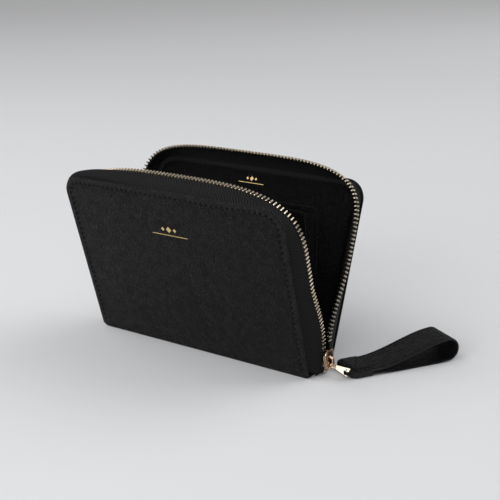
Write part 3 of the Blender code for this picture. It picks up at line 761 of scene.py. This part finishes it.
def make_slider():
    """The slider's two shouldered plates with folded rails, its post, and its arched bridge."""
    low, high = 0.0032, 0.0132
    shoulder, wide, tail = low + 0.0032, 0.0042, high - 0.0016
    outline = [(0.0025, low), (0.0030, shoulder), (wide, low + 0.0062), (wide, tail)]
    outline += [(0.0031, high), (0.0011, high - 0.0004)]
    outline = smooth_outline(outline + [(-y, z) for y, z in reversed(outline)], 0.0009)
    parts = []
    for near, far in ((-0.0022, -0.0013), (0.0013, 0.0022)):
        near, far = SLIDER_X + near, SLIDER_X + far
        parts.append(slab(outline, near, far, 0.0003, lambda y, z, x: Vector((x, y, z))))
    rail = [(0.0024, low + 0.0004), (0.0029, shoulder), (0.0039, low + 0.0060), (0.0039, high - 0.0020)]
    for x_side in (-1, 1):
        for side in (-1, 1):
            line = [Vector((SLIDER_X + x_side * 0.0011, side * y, z)) for y, z in rail]
            parts.append(tube(resampled(line, count=10), 8, 0.00042))
    post_low = (SLIDER_X - 0.0015, -0.0008, high - 0.0026)
    post_high = (SLIDER_X + 0.0015, 0.0008, high - 0.0004)
    parts.append(box(post_low, post_high, 0.0004))
    fit("slider_shell", merged(parts), GILT, "slider", "slider_metal", "slider_body")

    foot, out = SLIDER_X + 0.0023, SLIDER_X + 0.0042
    knots = [(foot, 0.0037), (out - 0.0009, 0.0036), (out, 0.0046), (out, 0.0075)]
    knots += [(out - 0.0004, 0.0090), (foot, 0.0098)]
    path = [Vector((x, 0.0, z)) for x, z in resampled(curve(knots), count=24)]
    arch = strip(path, Vector((0, 1, 0)), 0.0017, 0.0008, 0.00028)
    fit("slider_arch", arch, GILT, "slider", "slider_metal", "slider_bridge")


# The puller's plate, out from its hinge.
PLATE_START, SLOT_START, SLOT_END, PLATE_END = 0.0026, 0.0083, 0.0089, 0.0103
PLATE_STATIONS = [PLATE_START, 0.0028, 0.0032, 0.0037, 0.0042, 0.0050, 0.0062]
PLATE_STATIONS += [SLOT_START, SLOT_END, PLATE_END - 0.0002, PLATE_END]


def plate_rows(s, slope):
    """The points of the plate's upper and under face at s; the plate twists near its ring."""
    at_end = s in (PLATE_START, PLATE_END)
    bevel = 0.00022
    half = (0.0010 + 0.0014 * min(1.0, (s - PLATE_START) / 0.0080)) * (0.90 if at_end else 1.0)
    deep = 0.00055 * (0.6 if at_end else 1.0)
    line = [-half, -half + bevel, -half * 0.58, half * 0.58, half - bevel, half]
    drop = [deep * 0.45, deep, deep, deep, deep, deep * 0.45]
    turn = Matrix.Rotation(PULL_TWIST * ease((s - 0.0008) / 0.0022), 3, "X")
    rows = []
    for face in (1, -1):
        flat = [turn @ Vector((0, y, face * d)) for y, d in zip(line, drop)]
        rows.append([slope @ (point + Vector((s, 0, 0))) for point in flat])
    return rows


def make_pull():
    """The puller: a ring round the bridge that flattens into a bevelled, widening, slotted plate."""
    slope = Matrix.Translation(PULL_HINGE) @ Matrix.Rotation(PULL_SLOPE, 4, "Y")
    ring = []
    for k in range(28):
        a = 2 * pi * k / 28
        ring.append(slope @ Vector((0.0014 + 0.0017 * cos(a), 0.0016 * sin(a), 0.0)))
    parts = [tube(ring, 10, 0.00038, closed=True)]

    verts, faces, index = [], [], {}
    for s in PLATE_STATIONS:
        for row, points in enumerate(plate_rows(s, slope)):
            for k, point in enumerate(points):
                index[s, row, k] = len(verts)
                verts.append(point)

    def quad(*keys):
        faces.append(tuple(index[key] for key in keys))

    for a, b in zip(PLATE_STATIONS, PLATE_STATIONS[1:]):
        slot = a == SLOT_START
        for k in range(5):
            if slot and k == 2:
                continue
            quad((a, 0, k), (b, 0, k), (b, 0, k + 1), (a, 0, k + 1))
            quad((a, 1, k), (a, 1, k + 1), (b, 1, k + 1), (b, 1, k))
        quad((a, 0, 0), (a, 1, 0), (b, 1, 0), (b, 0, 0))
        quad((a, 0, 5), (b, 0, 5), (b, 1, 5), (a, 1, 5))
        if slot:
            quad((a, 0, 2), (b, 0, 2), (b, 1, 2), (a, 1, 2))
            quad((a, 0, 3), (a, 1, 3), (b, 1, 3), (b, 0, 3))
            quad((a, 0, 2), (a, 1, 2), (a, 1, 3), (a, 0, 3))
            quad((b, 0, 2), (b, 0, 3), (b, 1, 3), (b, 1, 2))
    for s, flip in ((PLATE_START, False), (PLATE_END, True)):
        for k in range(5):
            keys = [(s, 0, k), (s, 0, k + 1), (s, 1, k + 1), (s, 1, k)]
            quad(*(reversed(keys) if flip else keys))
    parts.append((verts, faces))
    fit("puller", merged(parts), PULLER, "pull", "slider_metal", "pull_tab", smooth=30)


def strap_point(s, z, y=0.0):
    """A place on the strap: s out from its base, y across it."""
    turn = Matrix.Rotation(STRAP_HEADING, 4, "Z")
    return STRAP_ORIGIN + turn @ (Vector((s, y, z)) + STRAP_SHIFT)


def strap_path():
    """The loop's outer face from over its base, round its nose and back along the table."""
    nose, radius = Vector((0.0538, 0.0068)), 0.0062
    top, rise_start, steps = 0.0035, 0.0118, 28
    rise = [(0.0, top), (0.006, top)]
    for i in range(steps):
        t = i / steps
        height = top + (nose.y + radius - top) * (0.25 * t + 0.75 * ease(t))
        rise.append((rise_start + t * (nose.x - rise_start), height))
    turn = arc(nose, radius, pi / 2, -pi / 2, 20)
    floor = [(0.048, 0.0), (0.040, 0.0), (0.032, 0.0), (0.025, 0.0), (0.020, 0.0002)]
    return rise + turn + floor + [(0.0160, 0.0006), (0.0116, 0.0010), (0.006, 0.0010), (0.0, 0.0010)]


def band(path, width, thickness, groove):
    """A leather band on a plane path: rounded painted edges and a creased line near each."""
    half, r = width / 2, 0.45 * thickness
    # round the band's section: (y, depth under the outer face)
    top = [(-half + r, 0.0), (-half + 0.0011, 0.0), (-half + 0.0014, groove), (-half + 0.0017, 0.0)]
    top = top + [(-y, d) for y, d in reversed(top)]
    edge = [(half - 0.3 * r, 0.3 * r), (half, r), (half, thickness - r)]
    edge.append((half - 0.3 * r, thickness - 0.3 * r))
    under = [(half - r, thickness), (-half + r, thickness)]
    section = top + edge + under + [(-y, d) for y, d in reversed(edge)]
    # the material of each stretch of the section: 0 outer face, 1 edge, 2 underside
    kinds_across = [0] * (len(top) - 1) + [1] * (len(edge) + 1) + [2] + [1] * (len(edge) + 1)
    points = [Vector(p) for p in path]
    rings = []
    for i, p in enumerate(points):
        out = outward(points, i)
        rings.append([strap_point(*(p - out * d), y) for y, d in section])
    verts, faces = skin(rings)
    sides = len(faces) - 2
    kinds = [kinds_across[k % len(section)] if k < sides else 1 for k in range(len(faces))]
    return verts, faces, kinds


def hairpin(length, low, high, radius, steps):
    """A U lying on its side, open towards +x."""
    lower = arc((0.0, low + radius), radius, -pi / 2, -pi, steps)
    upper = arc((0.0, high - radius), radius, pi, pi / 2, steps)
    return [(length, low), (length * 0.5, low)] + lower + upper + [(length * 0.5, high), (length, high)]


def make_base_tab():
    """The pillow-shaped tab folded over the loop's base, and its square of stitches."""
    high, start, end, half = 0.0047, -0.0030, 0.0112, STRAP_WIDTH / 2
    stitch_depth = 0.0004
    corners = [(start, -half), (end, -half), (end, half), (start, half)]
    outline = smooth_outline(corners, 0.0042, 6)
    # (distance in from the outline, height): up the edge, through the stitch line, to the crown
    profile = [(0.0009, 0.0), (0.0003, 0.0003), (0.0, 0.0010), (0.0, high - 0.0020)]
    profile += [(0.0003, high - 0.0011), (0.0009, high - 0.0006), (0.0016, high - stitch_depth)]
    profile += [(0.0022, high - stitch_depth), (0.0027, high - 0.0001), (0.0034, high)]
    rings = [[strap_point(s, z, y) for s, y in shrunk(outline, inset)] for inset, z in profile]
    verts, faces = skin(rings)
    painted = 4 * len(outline)
    kinds = [1 if k < painted or k == len(faces) - 2 else 0 for k in range(len(faces))]
    tab = make("strap_base_tab", verts, faces, [LEATHER, EDGE], kinds=kinds)
    settle(tab, "strap", "leather", "strap_tab")

    inset = 0.0022
    half -= inset
    low, far = start + inset, end - 0.0020
    square = [(low, -half), (far, -half), (far, half), (low, half), (low, -half)]
    path = [strap_point(s, high - stitch_depth, y) for s, y in square]
    stitches = stitched(path, Vector((0, 0, 1)), pitch=0.0020, length=0.0015, radius=0.0002)
    fit("strap_stitching", stitches, THREAD, "strap", "leather")


def make_strap():
    """The wrist loop, the tab over its base, and the narrow leather ring through the puller."""
    verts, faces, kinds = band(strap_path(), STRAP_WIDTH, STRAP_LEATHER, 0.00022)
    loop = make("wrist_loop", verts, faces, [LEATHER, EDGE, LINER], kinds=kinds)
    settle(loop, "strap", "leather", "strap_loop")
    make_base_tab()

    slot, radius = 0.0094, 0.0016
    centre = PULL_HINGE + slot * Vector((cos(PULL_SLOPE), 0, -sin(PULL_SLOPE)))
    turn = Matrix.Rotation(STRAP_HEADING, 3, "Z")
    loop = hairpin(0.0031, -radius, radius, radius, 10)
    path = [centre + turn @ Vector((s, y, 0.0)) for s, y in loop]
    ring = strip(path, Vector((0, 0, 1)), 0.0017, 0.0006, 0.0002)
    fit("tongue_ring", ring, LEATHER, "strap", "leather", "strap_tongue")


# ---- the middle pocket


def front_wall_y(z):
    """y of the front wall's inner face at height z."""
    return COIN_FRONT_Y - (z - COIN_FOOT) * tan(COIN_LEAN)


def make_coin_walls():
    """The upright back wall, the leaning front wall, their hems and the pocket's base."""
    outline = panel_outline(COIN_HALF, COIN_FOOT, COIN_FOOT + 0.081, 0.0025)
    far = COIN_BACK_Y + COIN_WALL
    back = slab(outline, COIN_BACK_Y, far, 0.00035, lambda x, z, y: Vector((x, y, z)))
    fit("middle_back_wall", back, LINER, "coin_pocket", "leather", "coin_back_wall")

    tilt = Matrix.Translation((0.0, COIN_FRONT_Y, COIN_FOOT)) @ Matrix.Rotation(COIN_LEAN, 4, "X")
    outline = panel_outline(COIN_HALF, 0.0, COIN_HEIGHT, 0.0025)
    front = slab(outline, -COIN_WALL, 0.0, 0.00035, lambda x, z, y: tilt @ Vector((x, y, z)))
    fit("middle_front_wall", front, LINER, "coin_pocket", "leather", "coin_front_wall")

    x, low, high = COIN_HALF - 0.0016, 0.004, COIN_HEIGHT - 0.0018
    hem = [(x, low), (x, high), (-x, high), (-x, low)]
    on_front = [tilt @ Vector((a, -COIN_WALL, b)) for a, b in hem]
    on_back = [Vector((a, far, COIN_FOOT + b - 0.001)) for a, b in hem]
    out = tilt.to_3x3() @ Vector((0, -1, 0))
    sides = ((on_front, out), (on_back, Vector((0, 1, 0))))
    rows = [stitched(path, normal, pitch=0.0028, radius=0.0002) for path, normal in sides]
    fit("middle_stitching", merged(rows), THREAD, "coin_pocket", "leather")

    base = box((-0.061, -0.0022, 0.0025), (0.061, 0.0018, 0.0034), 0.0003)
    fit("middle_base", base, LINER, "coin_pocket", "lining", "coin_base")


def make_gusset(name, side):
    """A folded end wall, its crease pointing into the pocket; side is -1 at the left."""
    foot, top, layers, knots = COIN_FOOT + 0.001, COIN_FOOT + 0.0785, 12, 14
    far = 0.0006
    rings = []
    for k in range(layers + 1):
        z = foot + (top - foot) * k / layers
        near = front_wall_y(z) + 0.0003
        depth = 0.77 * (far - near) / 2
        outer, inner = [], []
        for j in range(knots + 1):
            t = j / knots
            fold = 1 - abs(2 * t - 1) ** 1.3  # the crease is soft at its bottom
            x, y = COIN_HALF - 0.0006 - depth * fold, near + (far - near) * t
            outer.append(Vector((side * x, y, z)))
            inner.append(Vector((side * (x - LEAF), y, z)))
        rings.append(outer + list(reversed(inner)))
    verts, faces = skin(rings)
    if side < 0:
        faces = [tuple(reversed(face)) for face in faces]
    gusset = verts, faces
    fit(f"gusset_{name}", gusset, LINER, "coin_pocket", "lining", f"coin_gusset_{name}")


def make_coin_zip():
    """The pocket's two flat tapes, its row of teeth and its stop."""
    z, half = COIN_ZIP_Z, COIN_TEETH_HALF
    gap = half + 0.0002
    front, back = (front_wall_y(z) + 0.0006, COIN_MIDDLE - gap), (COIN_MIDDLE + gap, 0.0006)
    for name, (low, high) in (("front", front), ("back", back)):
        section = [(low, z), (high, z), (high, z + TAPE), (low, z + TAPE)]
        rings, uvs = [], []
        for x in (-COIN_ZIP_HALF, COIN_ZIP_HALF):
            rings.append([Vector((x, a, b)) for a, b in section])
            uvs += [(x + 1.0, abs(a)) for a, b in section]
        verts, faces = skin(rings)
        tape = make(f"coin_tape_{name}_weave", verts, faces, [WEAVE], uvs=uvs)
        settle(tape, "coin_pocket", "zip_tape", f"coin_tape_{name}")

    parts = []
    x, last, pitch, side = -0.0525, 0.0455, 0.0010, 1
    across, thick = half - 0.0004, 0.00036
    while x < last:
        y = COIN_MIDDLE + side * 0.0004
        low, high = (x - thick, y - across, z - 0.0004), (x + thick, y + across, z + 0.0009)
        parts.append(box(low, high, 0.0002))
        x, side = x + pitch, -side
    teeth = merged(parts)
    fit("coin_teeth", teeth, TEETH, "coin_pocket", "zip_metal", "coin_zip_teeth", smooth=30)
    low, high = (0.0465, COIN_MIDDLE - half, z - TAPE), (0.0481, COIN_MIDDLE + half, z + 2 * TAPE)
    stop = box(low, high, 0.0003)
    fit("coin_stop", stop, TEETH, "coin_pocket", "zip_metal", "coin_zip_stop")


def make_coin_slider():
    """The pocket's slider, its bridge and its puller."""
    mid, start, end = COIN_ZIP_Z + TAPE / 2, -COIN_ZIP_HALF - 0.0012, -COIN_ZIP_HALF + 0.0058
    outline = [(start, -0.0015), (end, -0.0024), (end, 0.0024), (start, 0.0015)]
    outline = smooth_outline(outline, 0.0009)
    parts = []
    for low in (mid - 0.0017, mid + 0.0010):
        parts.append(slab(
            outline, low, low + 0.0007, 0.00025, lambda x, y, n: Vector((x, COIN_MIDDLE + y, n))
        ))
    low = (end - 0.0016, COIN_MIDDLE - 0.0004, mid - 0.0012)
    high = (end - 0.0004, COIN_MIDDLE + 0.0004, mid + 0.0012)
    parts.append(box(low, high, 0.0002))
    shell = merged(parts)
    fit("coin_slider_shell", shell, GILT, "coin_slider", "slider_metal", "coin_slider_body")

    foot = mid + 0.0016
    knots = [(start + 0.0011, foot), (start + 0.0012, foot + 0.0016), (start + 0.0022, foot + 0.0022)]
    knots += [(end - 0.0022, foot + 0.0022), (end - 0.0012, foot + 0.0016), (end - 0.0011, foot)]
    path = [Vector((x, COIN_MIDDLE, z)) for x, z in resampled(curve(knots), count=22)]
    arch = strip(path, Vector((0, 1, 0)), 0.0012, 0.0006, 0.0002)
    fit("coin_slider_arch", arch, GILT, "coin_slider", "slider_metal", "coin_slider_bridge")

    hinge = Vector((-0.0526, COIN_MIDDLE, 0.07895))
    turns = [2 * pi * k / 20 for k in range(20)]
    ring = [hinge + Vector((0.0013 + 0.00155 * cos(a), 0.0014 * sin(a), 0)) for a in turns]
    outline = [(0.0024, -0.0009), (0.0132, -0.0019), (0.0140, 0.0), (0.0132, 0.0019), (0.0024, 0.0009)]
    outline = smooth_outline(outline, 0.0008)
    plate = slab(outline, -0.00035, 0.00035, 0.00015, lambda x, y, n: hinge + Vector((x, y, n)))
    puller = merged([tube(ring, 8, 0.00034, closed=True), plate])
    fit("coin_puller", puller, GILT, "coin_pull", "slider_metal", "coin_pull_tab")


def make_coin_pocket():
    make_coin_walls()
    make_gusset("left", -1)
    make_gusset("right", 1)
    make_coin_zip()
    make_coin_slider()


# ---- foil ornament


def lozenge(x, v, wide, tall):
    return [(x - wide, v), (x, v - tall), (x + wide, v), (x, v + tall)]


def ornament(name, body, place, x, v, scale):
    """Three small lozenges over a thin rule, in gold foil."""
    foil = 0.00004
    shapes = []
    for d, w in ((-0.0032, 0.0009), (0, 0.0014), (0.0032, 0.0009)):
        shapes.append(lozenge(x + scale * d, v, scale * w, scale * w * 1.15))
    left, right = x - scale * 0.0095, x + scale * 0.0095
    low, high = v - scale * 0.0030, v - scale * 0.00265
    shapes.append([(left, low), (right, low), (right, high), (left, high)])
    parts = [skin([[place(a, b, n) for a, b in shape] for n in (0.0, foil)]) for shape in shapes]
    fit(name, merged(parts), FOIL, body, "zip_metal")


# ---- stage, light and camera


def make_stage():
    """A wide pale table top, painted paler from radius near out to radius far: painted light on the far
    table.
    """
    tone, pale, near, far = (0.74, 0.745, 0.76), (0.97, 0.97, 0.97, 1.0), 1.2, 3.5
    turns = [2 * pi * k / 72 for k in range(72)]
    rings = [[(r * cos(a), r * sin(a), 0.0) for a in turns] for r in (0.4, 1.0, 2.5, 6.0)]
    verts, faces = skin(rings, caps=False)
    faces.append(tuple(range(len(turns))))
    look = Finish("paper", tone, 0.9, specular=0.0)
    distance = look.node("ShaderNodeVectorMath", {0: look.place()}, operation="LENGTH")
    # painted light: the table's colour grows paler with distance from the middle
    look.mixed(look.ranged(distance.outputs["Value"], near, far), tone, pale)
    make("table_top", verts, faces, [look.material])


def area_light(name, location, target, size, power, colour=(1, 1, 1)):
    data = bpy.data.lights.new(name, "AREA")
    data.shape = "RECTANGLE"
    data.size, data.size_y = size
    data.energy = power
    data.color = colour
    light = bpy.data.objects.new(name, data)
    light.location = location
    light.rotation_euler = (Vector(target) - Vector(location)).to_track_quat("-Z", "Y").to_euler()
    bpy.context.scene.collection.objects.link(light)


def make_lights():
    world = bpy.data.worlds.new("studio")
    world.use_nodes = True
    background = world.node_tree.nodes["Background"]
    background.inputs["Color"].default_value = (0.81, 0.815, 0.825, 1.0)
    background.inputs["Strength"].default_value = 0.38
    bpy.context.scene.world = world
    bpy.context.scene.view_settings.view_transform = "Standard"
    warm = (1.0, 0.995, 0.985)
    area_light("key", (-0.95, -0.75, 1.45), (0.0, 0.0, 0.04), (1.8, 1.4), 17.0, warm)
    area_light("top", (1.1, 1.5, 1.8), (0.4, 0.9, 0.0), (2.2, 2.2), 25.0)
    area_light("front", (0.15, -1.7, 0.75), (0.0, -0.1, 0.0), (1.8, 0.8), 17.0)


def make_camera():
    """A short telephoto view from the front and a little to the right, angles in radians."""
    azimuth, elevation, distance = 0.59482, 0.29516, 0.522124
    target = Vector((0.024456, 0.0, 0.0571607))
    back = Vector((sin(azimuth) * cos(elevation), -cos(azimuth) * cos(elevation), sin(elevation)))
    data = bpy.data.cameras.new("camera")
    data.lens, data.sensor_width = 73.48, 36.0
    camera = bpy.data.objects.new("camera", data)
    camera.location = target + distance * back
    camera.rotation_euler = (-back).to_track_quat("-Z", "Y").to_euler()
    bpy.context.scene.collection.objects.link(camera)
    bpy.context.scene.camera = camera


make_cover("front", FRONT, FRONT_LEAN, FRONT_ARCH, 1, (0.080, 0.067, 0.054), FRONT_FULLNESS)
make_cover("rear", REAR, REAR_LEAN, REAR_ARCH, -1, (0.079,), 0.0)
make_fold("front", FRONT)
make_fold("rear", REAR)
make_spine()
make_slider()
make_pull()
make_strap()
make_coin_pocket()
ornament(
    "front_foil", "front_cover", lambda x, v, n: FRONT @ Vector((x, -0.00185 - n, v)),
    -0.0018, 0.0735, 1.15,
)
ornament(
    "rear_foil", "rear_cover", lambda x, v, n: REAR @ Vector((x, LINING_N + LEAF + n, v)),
    0.0006, 0.0872, 0.85,
)
make_stage()
make_lights()
make_camera()
